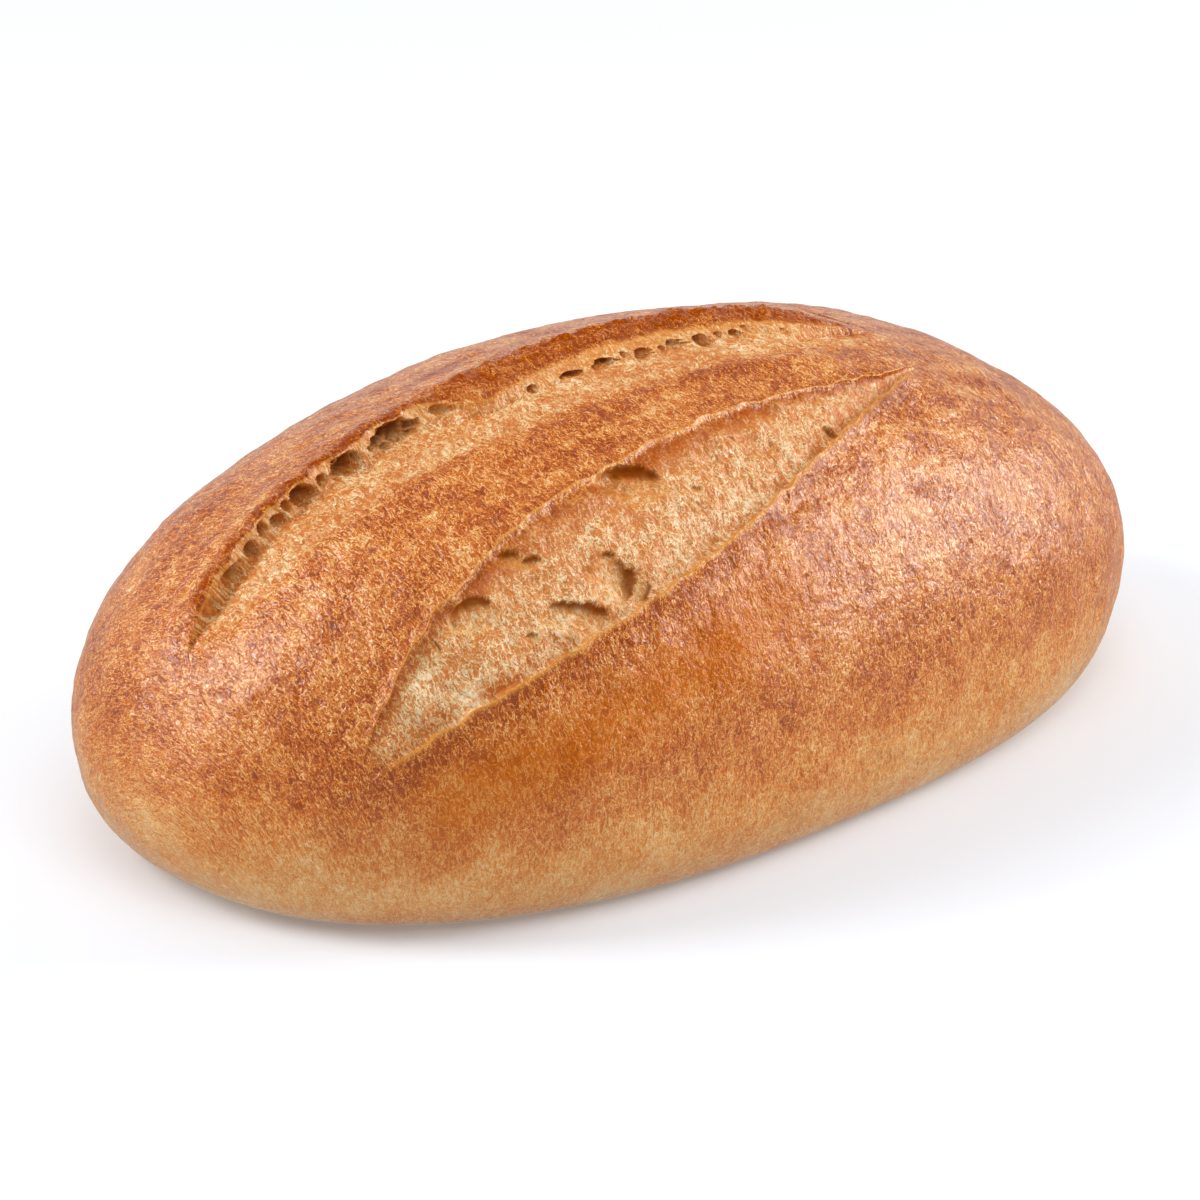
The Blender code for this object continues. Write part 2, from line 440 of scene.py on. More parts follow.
@dataclass(frozen=True)
class Layout:
    """Where every line of the skin runs, and the stations at which it is read."""

    front: Cut = Cut((39.0, 125.0), (114.5, 157.5))
    back: Cut = Cut((35.0, 176.5), (115.8, 166.2))
    front_lip: Bow = Bow(-10.2, 1.60, 1.35, 0.7, 21)
    front_edge: Bow = Bow(16.0, 0.65, 1.70, 1.3, 22)
    strip: Bow = Bow(-5.0, 0.30, 0.30, 1.5, 23)
    pore_foot: Bow = Bow(12.0, 0.50, 1.80, 0.8, 24)
    pore_foot_right: Bow = Bow(5.6, 0.30, 0.40, 0.8, 25)
    ear_lip: Bow = Bow(14.3, 0.50, 0.60, 0.8, 26)
    ear_lip_right: Bow = Bow(9.8, 2.60, 1.10, 1.6, 27)
    ear_ridge: Bow = Bow(15.8, 0.30, 0.16, 1.4, 28)
    step: tuple[float, float] = (0.41, 0.46)
    foot_turn: float = 60.0
    middle_station: float = 79.5

    def stations(self) -> Array:
        """Lays the rings, finer along the cuts and with one at every end of a cut.

        Returns:
            Their stations in radians.
        """
        tips = sorted({self.front.start[0], self.front.end[0], self.back.start[0], self.back.end[0]})
        knots = [0.0, tips[0], tips[1], self.middle_station, tips[2], tips[3], 180.0]
        steps = [0.26, 0.15, 0.15, 0.15, 0.15, 0.22]
        runs = []
        for low, high, step in zip(knots, knots[1:], steps):
            runs.append(np.linspace(low, high, max(round((high - low) / step), 2), endpoint=False))
        return np.radians(np.concatenate([*runs, [180.0]]))

    def stepped(self, left: Bow, right: Bow, station: Array) -> Array:
        """An edge of the back cut that changes from one bow to another where its large pores end."""
        change = smooth_step(self.back.share(station), *self.step)
        return self.back.edge(left, station) * (1 - change) + self.back.edge(right, station) * change

    def lines(self, station: Array) -> dict[Line, Array]:
        """Works out where every line runs.

        Args:
            station: angles in radians.

        Returns:
            The turn of each line at each station, in radians.
        """
        front_open, back_open = self.front.opening(station), self.back.opening(station)
        lip = self.front.edge(self.front_lip, station)
        edge = np.maximum(self.front.edge(self.front_edge, station), lip)
        bed = np.minimum(lip + 1.1 * front_open, (lip + edge) / 2)
        strip = self.back.edge(self.strip, station)
        ridge = np.maximum(self.back.edge(self.ear_ridge, station), strip)
        room = ridge - strip
        foot = self.stepped(self.pore_foot, self.pore_foot_right, station)
        foot = np.clip(foot, strip + 0.3 * room, strip + 0.84 * room)
        ear = self.stepped(self.ear_lip, self.ear_lip_right, station)
        ear = np.clip(ear, foot + 0.03 * room, strip + 0.95 * room)
        level = np.ones_like(station)
        turns = {
            Line.FRONT_FOOT: self.foot_turn * level,
            Line.FRONT_OUTER: lip - 3.2 * front_open,
            Line.FRONT_LIP: lip,
            Line.FRONT_BED: bed,
            Line.FRONT_EDGE: edge,
            Line.FRONT_INNER: edge + 1.8 * front_open,
            Line.BACK_OUTER: strip - 1.6 * back_open,
            Line.STRIP: strip,
            Line.PORE_FOOT: foot,
            Line.EAR_LIP: ear,
            Line.EAR_RIDGE: ridge,
            Line.BACK_INNER: ridge + 11.0 * back_open,
            Line.BACK_FOOT: (360 - self.foot_turn) * level,
        }
        return {line: np.radians(turn) for line, turn in turns.items()}


@dataclass(frozen=True)
class Grid:
    """A patch of skin: its rings, the zone coordinate of each column and the turn of each point."""

    station: Array
    zone: Array
    turn: Array

    @classmethod
    def between(cls, layout: Layout, station: Array, lines: list[Line], columns: tuple[int, ...]) -> Grid:
        """Lays columns between each line and the next.

        Args:
            layout: where the lines run.
            station: the rings, in radians.
            lines: the lines to go through, in the order of their turns.
            columns: how many columns each gap between two lines gets.

        Returns:
            The patch. Its zone coordinate is k on line k, and grows evenly up to the next.
        """
        runs = [np.linspace(k, k + 1, count, endpoint=False) for k, count in enumerate(columns)]
        zone = np.concatenate([*runs, [len(columns)]])
        turns = layout.lines(station)
        knots = np.stack([turns[line] for line in lines], -1)
        whole = np.minimum(zone.astype(int), len(columns) - 1)
        turn = knots[:, whole] + (knots[:, whole + 1] - knots[:, whole]) * (zone - whole)
        return cls(station, zone, turn)

    @property
    def rings(self) -> Array:
        """The stations as a column, to go with the turns."""
        return self.station[:, None]

    def profile(self, knots: list[tuple[float, float]], softness: int = 3) -> Array:
        """Draws straight lines between knots and rounds their corners by averaging neighbours.

        Args:
            knots: (zone, value) pairs. Before the first and after the last the value holds.
            softness: how many times to average.

        Returns:
            A value for each column.
        """
        places, values = zip(*knots)
        shape = np.interp(self.zone, places, values)
        for _ in range(softness):
            padded = np.pad(shape, 1, mode="edge")
            shape = (padded[:-2] + 2 * padded[1:-1] + padded[2:]) / 4
        return shape


def put(name: str, data: bpy.types.ID) -> Piece:
    """Adds an object to the scene.

    Args:
        name: its name.
        data: its mesh, light or camera.

    Returns:
        The object.
    """
    made = bpy.data.objects.new(name, data)
    bpy.context.scene.collection.objects.link(made)
    return made


def closed_mesh(
    name: str, points: Array, spine: Array, chart: Array, marks: dict[Mark, Array], edge_normals: Array
) -> Piece:
    """Closes a patch of skin into a solid, like a slice of an orange.

    The first and last columns are joined to the spine by strips, and the first and last rings by fans,
    unless all points of such a ring coincide, when it becomes a single pole.

    Args:
        name: the new object's name.
        points: the patch, as rings by columns by three.
        spine: one inner point for each ring.
        chart: the patch's flat map, rings by columns by two or more.
        marks: values at each point of the patch.
        edge_normals: normals of the baked skin, used on the patch's outline.

    Returns:
        The new object, linked to the scene.
    """
    rings, columns = points.shape[:2]
    index = np.arange(rings * columns).reshape(rings, columns)
    poles = [bool(np.ptp(points[end], axis=0).max() < 1e-7) for end in (0, -1)]
    inner = rings * columns + np.arange(rings)
    for end, pole in zip((0, -1), poles):
        if pole:
            index[end] = index[end, 0]

    a, b, c, d = index[:-1, :-1], index[:-1, 1:], index[1:, 1:], index[1:, :-1]
    quads = [np.stack([a, d, c, b], -1)[poles[0] : rings - 1 - poles[1]].reshape(-1, 4)]
    quads.append(np.stack([index[1:, 0], index[:-1, 0], inner[:-1], inner[1:]], -1))
    quads.append(np.stack([index[:-1, -1], index[1:, -1], inner[1:], inner[:-1]], -1))
    fans = np.full((2, columns - 1), inner[[0, -1], None])
    triangles = [
        np.stack([a[0], d[0], c[0]] if poles[0] else [a[0], b[0], fans[0]], -1),
        np.stack([a[-1], d[-1], b[-1]] if poles[1] else [c[-1], d[-1], fans[1]], -1),
    ]
    quads, triangles = np.concatenate(quads), np.concatenate(triangles)

    corners = np.concatenate([quads.ravel(), triangles.ravel()])
    used, corners = np.unique(corners, return_inverse=True)
    places = np.concatenate([points.reshape(-1, 3), spine])[used]
    starts = np.concatenate([4 * np.arange(len(quads)), 4 * len(quads) + 3 * np.arange(len(triangles))])
    mesh = bpy.data.meshes.new(name)
    mesh.vertices.add(len(places))
    mesh.vertices.foreach_set("co", places.ravel())
    mesh.loops.add(len(corners))
    mesh.loops.foreach_set("vertex_index", corners.astype(np.int32))
    mesh.polygons.add(len(starts))
    mesh.polygons.foreach_set("loop_start", starts.astype(np.int32))
    mesh.update(calc_edges=True)

    flat_map = np.concatenate([chart[..., :2].reshape(-1, 2), np.zeros((rings, 2))])[used]
    mesh.uv_layers.new(name=CHART).data.foreach_set("uv", flat_map[corners].ravel())
    for mark, values in marks.items():
        whole = np.concatenate([np.broadcast_to(values, (rings, columns)).ravel(), np.zeros(rings)])[used]
        mesh.attributes.new(mark.value, "FLOAT", "POINT").data.foreach_set("value", whole.astype(np.float32))

    mesh.polygons.foreach_set("use_smooth", np.ones(len(starts), bool))
    normals = np.zeros(len(places) * 3)
    mesh.vertices.foreach_get("normal", normals)
    outline = np.zeros((rings, columns), bool)
    outline[[0, -1]] = outline[:, [0, -1]] = True
    whole_normals = np.concatenate([edge_normals.reshape(-1, 3), np.zeros((rings, 3))])[used]
    chosen = np.concatenate([outline.ravel(), np.zeros(rings, bool)])[used]
    normals = np.where(chosen[:, None], whole_normals, normals.reshape(-1, 3))
    mesh.normals_split_custom_set_from_vertices(normals.tolist())
    mesh.validate()
    return put(name, mesh)


@dataclass(frozen=True)
class Bruise:
    """A dark spot on the crust, with its sizes in millimetres along and across the loaf."""

    station: float
    turn: float
    length: float
    girth: float
    strength: float

    def at(self, form: LoafForm, station: Array, turn: Array) -> Array:
        """Works out the spot: e to the power -r3, with r the distance as a share of its radius.

        Args:
            form: the loaf, for its sizes.
            station: angles in radians.
            turn: angles in radians.

        Returns:
            How much darker each place is.
        """
        along = (station - math.radians(self.station)) * form.chart_length / (self.length / 2 * MM)
        across = (turn - math.radians(self.turn)) * form.chart_girth / (self.girth / 2 * MM)
        return self.strength * np.exp(-((along**2 + across**2) ** 1.5))


@dataclass(frozen=True)
class BakeMap:
    """How dark the crust baked at each place, from 0 for pale crumb to 1 for nearly burnt."""

    form: LoafForm
    layout: Layout
    bruises: tuple[Bruise, ...] = (
        Bruise(76.4, 196.4, 10.0, 5.5, 0.26),
        Bruise(32.3, 130.1, 4.0, 3.2, 0.20),
        Bruise(90.5, 186.2, 4.0, 3.0, 0.22),
        Bruise(102.3, 130.1, 4.0, 1.6, 0.14),
    )
    patches: tuple[Waves, ...] = (Waves(31, 34 * MM, 0.02), Waves(32, 12 * MM, 0.02))
    streaks: tuple[Waves, ...] = (
        Waves(34, 5 * MM, 0.045, (5.0, 1.0, 1.0)),
        Waves(35, 3.6 * MM, 0.025, (1.6, 1.0, 1.0)),
    )

    def crust(self, station: Array, turn: Array) -> dict[Mark, Array]:
        """Marks of plain crust.

        The crust is browner round the cuts' lips and the crest, paler towards the base, with soft
        patches and streaks that run along the loaf.

        Args:
            station: angles in radians.
            turn: angles in radians.

        Returns:
            The values of every mark.
        """
        points, chart = self.form.skin(station, turn), self.form.chart(station, turn)
        lines = self.layout.lines(station[:, 0])
        below_lip = (lines[Line.FRONT_LIP][:, None] - turn) * self.form.chart_girth
        beside_ridge = (turn - lines[Line.EAR_RIDGE][:, None]) * self.form.chart_girth
        front_fade = self.layout.front.fade(station)
        back_fade = self.layout.back.fade(station)
        bake = 0.62 - 0.23 * smooth_step(-points[..., 2], -34 * MM, -6 * MM)
        bake += added(self.patches, points)
        bake += added(self.streaks, chart) * smooth_step(points[..., 2], 45 * MM, 65 * MM)
        towards_tail = smooth_step(np.degrees(station), 76, 92)
        band = (3.4 - 1.8 * towards_tail) * MM
        bake += 0.12 * front_fade * bell(below_lip, 0.6 * band, band) * (below_lip > -1 * MM)
        bake += 0.05 * back_fade * bell(beside_ridge, 0.0, 7.0 * MM)
        bake += 0.07 * self.form.welt(station, turn, 1.8 * MM) + 0.02 * self.form.welt(station, turn, 9 * MM)
        # Paler along the fine crease in front of the welt: a painted highlight.
        bake -= 0.12 * self.form.seam(station, turn)
        for bruise in self.bruises:
            bake += bruise.at(self.form, station, turn)
        bake += 0.02 * towards_tail * smooth_step(points[..., 2], 20 * MM, 40 * MM)
        amber = front_fade * bell(below_lip, 17 * MM, 11 * MM) * (1 - towards_tail)
        zero = np.zeros_like(bake)
        return {Mark.BAKE: bake, Mark.AMBER: amber, Mark.RIM_AND_PAINTED_LIGHT: zero, Mark.PAINTED_SHADE_AND_RIDGE_TONE: zero, Mark.CRUMB: zero}


@dataclass(frozen=True)
class Pore:
    """One gas pore that shows in a cut, with its sizes in millimetres along and across the loaf."""

    station: float
    turn: float
    length: float
    girth: float
    depth: float
    heading: float = 0.0

    def bowl(self, form: LoafForm, grid: Grid) -> tuple[Array, Array, Array, Array]:
        """The pore's depth, and where its upper wall, its floor and its lower rim are, for painted shade on
        the wall and painted light on the floor and rim.

        It is a bowl, deeper under its upper rim: the root of 1 - r2, times a share that grows from
        the lower rim to the upper one. r is the distance from its middle as a share of its radius.

        Args:
            form: the loaf, for its sizes.
            grid: the patch.

        Returns:
            Metres of depth, then 0 to 1 on the upper wall, on the floor and along the lower rim.
        """
        along = (grid.rings - math.radians(self.station)) * form.chart_length / MM + 0 * grid.turn
        across = (grid.turn - math.radians(self.turn)) * form.chart_girth / MM
        c, s = math.cos(math.radians(self.heading)), math.sin(math.radians(self.heading))
        a, b = (c * along + s * across) / (self.length / 2), (c * across - s * along) / (self.girth / 2)
        rough = Waves(round(10 * self.station), 2.4 * MM, 0.10).at(form.chart(grid.rings, grid.turn))
        raw = 1 - a**2 - b**2 + rough
        inside = np.clip(raw, 0, 1)
        depth = self.depth * MM * inside**0.45 * (0.2 + 0.8 * np.clip((1 + b) / 2, 0, 1))
        wall = smooth_step(inside, 0, 0.03) * smooth_step(b + 0.2 * a**2, 0.3, 0.8)
        floor = smooth_step(inside, 0.1, 0.4) * (1 - wall)
        rim = bell(raw, 0.02, 0.16) * (1 - smooth_step(b, 0.1, 0.5))
        return depth, wall, floor, rim


@dataclass(frozen=True)
class Patch:
    """What every patch of the loaf's skin shares."""

    form: LoafForm
    layout: Layout
    bake_map: BakeMap
    dough: bpy.types.Material

    def finish(self, name: str, grid: Grid, points: Array, chart: Array, marks: dict[Mark, Array]) -> Piece:
        """Closes the patch, dresses it and lets it stand for the solid loaf.

        Args:
            name: the piece's name.
            grid: the patch.
            points: its surface.
            chart: its flat map.
            marks: its values for the material.

        Returns:
            The finished piece.
        """
        normals = self.form.outline_normals(grid.rings, grid.turn)
        piece = closed_mesh(name, points, self.form.spine(grid.station), chart, marks, normals)
        piece.data.materials.append(self.dough)
        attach(piece, BODY)
        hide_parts(CAD_NODE)
        return piece


@dataclass(frozen=True)
class FrontCut(Patch):
    """The opening in front: its thin crust lip, the torn crumb behind it and the ridge above."""

    lip_lift: float = 0.8 * MM
    undercut: float = 0.45 * MM
    depth: float = 2.3 * MM
    ridge_lift: float = 0.12 * MM
    flap_lift: float = 0.45 * MM
    columns: tuple[int, ...] = (24, 36, 92, 16)
    crumb: tuple[Waves, ...] = (
        Waves(41, 9 * MM, 0.22 * MM),
        Waves(42, 3.6 * MM, 0.09 * MM),
        Waves(43, 2.6 * MM, 0.10 * MM, (1.0, 1.6, 1.0), Fold.CREASES),
        Waves(44, 1.5 * MM, 0.13 * MM, (1.0, 2.6, 1.0), Fold.CREASES),
    )
    toasting: tuple[Waves, ...] = (Waves(45, 12 * MM, 0.045), Waves(46, 4 * MM, 0.05))
    pores: tuple[Pore, ...] = (
        Pore(74.6, 149.0, 12.5, 8.6, 2.6, -34.0),
        Pore(67.4, 135.0, 9.5, 8.5, 2.3, -107.0),
        Pore(68.2, 139.3, 2.6, 2.6, 1.5, -34.0),
        Pore(69.2, 131.4, 4.6, 3.4, 1.5, -140.0),
        Pore(62.9, 132.6, 13.0, 6.6, 1.7, -45.0),
        Pore(55.6, 142.2, 8.0, 7.2, 1.5, -34.0),
        Pore(62.3, 144.9, 3.3, 2.6, 1.6, -34.0),
        Pore(61.0, 147.4, 5.0, 3.4, 1.0, -34.0),
        Pore(97.7, 145.4, 3.6, 3.2, 2.2, -60.0),
        Pore(51.5, 141.2, 3.6, 1.2, 1.0, -90.0),
        Pore(58.6, 133.4, 2.6, 2.2, 0.8, -34.0),
        Pore(79.6, 143.0, 2.4, 1.6, 0.7, -34.0),
        Pore(86.5, 148.8, 2.2, 1.5, 0.7, -34.0),
    )

    def build(self, station: Array) -> list[Piece]:
        """Makes the opening's mesh.

        Across the cut the height follows a profile: up to the lip's crest, down its thin rim and a
        little back under it to the bed, then gently up to the ridge. The bed carries lumps, a web of
        creases and short tears that run up the slope, and the pores are sunk into it.

        Args:
            station: all rings of the loaf, in radians.

        Returns:
            Its one piece, between the ends of the cut.
        """
        lines = [Line.FRONT_OUTER, Line.FRONT_LIP, Line.FRONT_BED, Line.FRONT_EDGE, Line.FRONT_INNER]
        cut = self.layout.front
        rings = within(station, cut.start[0], cut.end[0])
        grid = Grid.between(self.layout, rings, lines, self.columns)
        ring = grid.rings
        fade = cut.fade(ring)
        share = cut.share(ring)
        lip = grid.profile([(0, 0), (0.45, 0.25), (0.8, 0.85), (1.0, 1.0), (1.18, 0.85), (1.4, 0.0)])
        slope = [(2.0, -1.0), (2.35, -0.7), (2.7, -0.42), (2.96, -0.17), (3.0, 0)]
        bed = grid.profile([(1.15, 0), (1.45, -0.55), *slope], 1)
        under = grid.profile([(1.1, 0), (1.5, -1.0), (1.8, -1.0), (2.1, 0)])
        ridge = grid.profile([(2.96, 0), (3.0, 1.0), (3.3, 0.5), (3.8, 0)], 1)
        flap = self.flap_lift * smooth_step(-share, -0.32, -0.16)
        lift = fade * (self.lip_lift * lip + self.depth * bed + (self.ridge_lift + flap) * ridge)
        slide = fade * (self.undercut * under - 1.1 * flap * ridge)

        chart = self.form.chart(ring, grid.turn)
        in_bed = fade * grid.profile([(1.4, 0), (2.1, 1), (2.9, 1), (3.05, 0)])
        lift = lift + in_bed * added(self.crumb, chart)
        # Painted shade on each pore's upper wall, and painted light on its floor and lower rim.
        shade, pale, edge = np.zeros((3, *grid.turn.shape))
        open_bed = fade * grid.profile([(1.5, 0), (1.9, 1), (2.97, 1), (3.03, 0)], 0)
        for pore in self.pores:
            depth, wall, floor, rim = pore.bowl(self.form, grid)
            lift = lift - depth * open_bed
            slide = slide + 0.25 * depth * wall * open_bed
            shade = np.maximum(shade, wall * open_bed)
            pale = np.maximum(pale, floor * open_bed)
            edge = np.maximum(edge, rim * open_bed)
        points = self.form.surface(ring, grid.turn, lift, slide)

        marks = self.bake_map.crust(ring, grid.turn)
        crumb = fade * grid.profile([(1.25, 0), (1.6, 1), (2.75, 1), (3.0, 0.15), (3.4, 0)])
        toast = 0.40 + 0.14 * np.clip(grid.zone - 2, 0, 1) ** 1.5 + added(self.toasting, chart)
        # A narrow band of painted shade on the crumb just behind the lip.
        toast = toast + 0.08 * bell(grid.zone, 1.7, 0.18)
        degrees = np.degrees(ring)
        toast = toast - 0.13 * bell(grid.zone, 2.25, 0.35) * bell(degrees, 83, 9)
        toast = toast + 0.12 * bell(grid.zone, 2.85, 0.25) * bell(degrees, 86, 12)
        toast = np.clip(toast - 0.14 * bell(degrees, 50, 8), 0.0, 0.7)
        marks[Mark.BAKE] = marks[Mark.BAKE] * (1 - crumb) + toast * crumb
        marks[Mark.CRUMB] = crumb
        # Painted shade in a thin line under the front ridge, a little also above it.
        shadowed = [(2.7, 0), (2.93, 1), (2.97, 0), (3.06, 0), (3.2, 0.3), (4, 0)]
        painted_shade_under_ridge = fade * grid.profile(shadowed, 1)
        # Paler pore floors and lower rims are painted light; the darker line under the ridge is painted
        # shade.
        marks[Mark.BAKE] += 0.12 * painted_shade_under_ridge - 0.07 * pale - 0.08 * edge
        lip_rim = fade * grid.profile([(0.75, 0), (1.0, 0.9), (1.35, 1), (1.6, 0.3), (1.9, 0)])
        # A painted highlight along the front ridge's edge.
        ridge_painted_highlight = fade * grid.profile([(2.98, 0), (3.0, 0.9), (3.07, 0.6), (3.12, 0)], 0)
        marks[Mark.RIM_AND_PAINTED_LIGHT] = np.clip(lip_rim + ridge_painted_highlight + 0.35 * pale + 0.6 * edge, 0, 1)
        marks[Mark.PAINTED_SHADE_AND_RIDGE_TONE] = np.clip(shade + 0.35 * painted_shade_under_ridge, 0, 1)
        return [self.finish("front_cut", grid, points, chart, marks)]


@dataclass(frozen=True)
class Cave:
    """One deep pore in the torn wall under the ear: its station, half length in degrees and depth in mm."""

    station: float
    half_length: float
    depth: float
    low: float = 0.06
    high: float = 0.86


@dataclass(frozen=True)
class BackCut(Patch):
    """The opening at the crest: its pale strip, the row of pores under the ear and the ear itself."""

    foot_depth: tuple[float, float] = (2.3 * MM, 1.5 * MM)
    lip_lift: tuple[float, float] = (1.5 * MM, 0.5 * MM)
    ridge_lift: float = 1.45 * MM
    columns: tuple[int, ...] = (10, 44, 54, 26, 44)
    crumb: tuple[Waves, ...] = (
        Waves(52, 6 * MM, 0.22 * MM, (1.6, 1.0, 1.0)),
        Waves(53, 2.4 * MM, 0.16 * MM, fold=Fold.CREASES),
        Waves(54, 1.3 * MM, 0.10 * MM, fold=Fold.CREASES),
    )
    bubbles: tuple[Waves, ...] = (
        Waves(55, 2.6 * MM, 0.26 * MM, fold=Fold.BUBBLES),
        Waves(56, 1.3 * MM, 0.12 * MM),
    )
    toasting: tuple[Waves, ...] = (Waves(57, 7 * MM, 0.05, (2.0, 1.0, 1.0)), Waves(58, 2.6 * MM, 0.06))
    caves: tuple[Cave, ...] = (
        Cave(40.6, 0.35, 0.9, 0.2, 0.9),
        Cave(41.8, 0.45, 1.0, 0.1, 0.9),
        Cave(45.0, 1.7, 2.2, 0.05, 0.9),
        Cave(48.1, 0.7, 2.6, 0.1, 0.8),
        Cave(49.9, 0.55, 2.4, 0.3, 0.95),
        Cave(51.6, 0.7, 2.4, 0.05, 0.7),
        Cave(52.9, 0.45, 2.0, 0.4, 0.95),
        Cave(54.6, 1.2, 4.0, 0.05, 0.95),
        Cave(56.9, 0.6, 2.6, 0.2, 0.8),
        Cave(59.6, 1.8, 4.4, 0.05, 0.95),
        Cave(64.9, 2.7, 5.0, 0.1, 0.98),
        Cave(69.6, 0.8, 1.8, 0.4, 0.95),
        Cave(77.0, 0.6, 2.0, 0.0, 0.62),
        Cave(81.8, 1.3, 2.8, 0.0, 0.52),
        Cave(86.0, 1.5, 3.0, 0.0, 0.58),
        Cave(88.4, 0.4, 1.6, 0.2, 0.7),
        Cave(90.3, 1.05, 2.6, 0.0, 0.62),
        Cave(92.4, 0.4, 1.4, 0.1, 0.5),
        Cave(94.2, 1.25, 2.8, 0.0, 0.66),
        Cave(97.2, 1.25, 2.8, 0.0, 0.74),
        Cave(99.2, 0.4, 1.6, 0.2, 0.75),
        Cave(101.0, 0.9, 2.2, 0.0, 0.72),
        Cave(102.7, 0.4, 1.2, 0.2, 0.9),
        Cave(104.3, 0.3, 1.0, 0.2, 0.8),
        Cave(106.2, 0.35, 0.9, 0.2, 0.8),
    )

    def pitting(self, grid: Grid) -> Array:
        """Works out the pores in the wall.

        Each pore is close to the root of 1 - r2, in the wall's own coordinates: degrees of station
        and the zone coordinate between foot and lip. A fine field roughens its outline, and thin
        webs divide the large ones.

        Args:
            grid: the patch.

        Returns:
            Their depth in metres at each point.
        """
        height = grid.zone[None, :] - 2
        degrees = np.degrees(grid.rings)
        chart = self.form.chart(grid.rings, grid.turn)
        rough = Waves(51, 2.0 * MM, 0.15).at(chart)
        webs = bell(Waves(60, 4.0 * MM).at(chart), 0, 0.35)
        deepest = np.zeros_like(grid.turn)
        for cave in self.caves:
            a = (degrees - cave.station) / cave.half_length
            b = (height - (cave.low + cave.high) / 2) / ((cave.high - cave.low) / 2)
            inside = np.clip(1 - a**2 - b**2 + rough, 0, 1) * (np.abs(b) < 1)
            inside = inside * smooth_step(1 - np.abs(b), 0, 0.08)
            thinned = 1 - 0.6 * webs * smooth_step(np.float64(cave.half_length), 1.0, 1.8)
            deepest = np.maximum(deepest, cave.depth * MM * inside**0.55 * thinned)
        return deepest

    def build(self, station: Array) -> list[Piece]:
        """Makes the opening's mesh.

        The strip sinks from its front edge to the pores' foot. The wall rises from there to the
        ear's lip, with the pores driven into it, back and a little down. The ear climbs to its bubbly
        ridge, and behind it the skin falls back to the loaf's own form.

        Args:
            station: all rings of the loaf, in radians.

        Returns:
            Its one piece, between the ends of the cut.
        """
        lines = [Line.BACK_OUTER, Line.STRIP, Line.PORE_FOOT, Line.EAR_LIP, Line.EAR_RIDGE, Line.BACK_INNER]
        cut = self.layout.back
        rings = within(station, cut.start[0], cut.end[0])
        grid = Grid.between(self.layout, rings, lines, self.columns)
        ring = grid.rings
        fade = cut.fade(ring)
        right = smooth_step(cut.share(ring), *self.layout.step)
        foot = self.foot_depth[0] * (1 - right) + self.foot_depth[1] * right
        lip = self.lip_lift[0] * (1 - right) + self.lip_lift[1] * right
        sunk = grid.profile([(1, 0), (1.5, -0.35), (1.85, -0.8), (2, -1), (2.15, -0.85), (3, 0)], 2)
        lipped = grid.profile([(2.1, 0), (2.85, 0.7), (3, 1), (3.3, 0.8), (4, 0)], 1)
        fall = [(4.15, 0.88), (4.5, 0.38), (4.8, 0.08), (5, 0)]
        ridged = grid.profile([(3, 0), (3.4, 0.6), (3.8, 0.95), (4, 1), *fall])
        lift = fade * (foot * sunk + lip * lipped + self.ridge_lift * ridged)
        pits = self.pitting(grid) * fade
        lift = lift - 0.28 * pits

        chart = self.form.chart(ring, grid.turn)
        on_strip = fade * grid.profile([(1, 0), (1.15, 1), (2, 1), (2.4, 0.3), (3, 0)])
        on_ridge = fade * grid.profile([(2.98, 0), (3.15, 0.8), (3.5, 1), (4.05, 1), (4.3, 0)], 1)
        lift = lift + on_strip * added(self.crumb, chart) + on_ridge * added(self.bubbles, chart)
        points = self.form.surface(ring, grid.turn, lift, pits)
        chart[..., 1] += pits

        marks = self.bake_map.crust(ring, grid.turn)
        crumb = fade * grid.profile([(1, 0), (1.25, 0.85), (2.6, 1), (2.95, 0.6), (3.1, 0)])
        toast = np.clip(0.42 + added(self.toasting, chart), 0.05, 0.5)
        marks[Mark.BAKE] = marks[Mark.BAKE] * (1 - crumb) + toast * crumb
        marks[Mark.BAKE] += on_ridge * (0.16 + Waves(59, 3 * MM, 0.05).at(chart))
        marks[Mark.CRUMB] = crumb
        rim = grid.profile([(2.1, 0), (2.4, 0.3), (2.85, 0.3), (2.97, 0.8), (3.08, 0.1), (3.15, 0)], 1)
        marks[Mark.RIM_AND_PAINTED_LIGHT] = fade * rim
        # Painted shade in the caves, stronger towards the ear's lip above them. On the ridge the same mark
        # darkens its own tone and dulls its gloss.
        deep = smooth_step(pits, 0.4 * MM, 3.0 * MM) * (0.3 + 0.6 * smooth_step(grid.zone, 2.2, 2.7))
        marks[Mark.PAINTED_SHADE_AND_RIDGE_TONE] = np.maximum(deep, 0.22 * on_ridge)
        return [self.finish("back_cut", grid, points, chart, marks)]


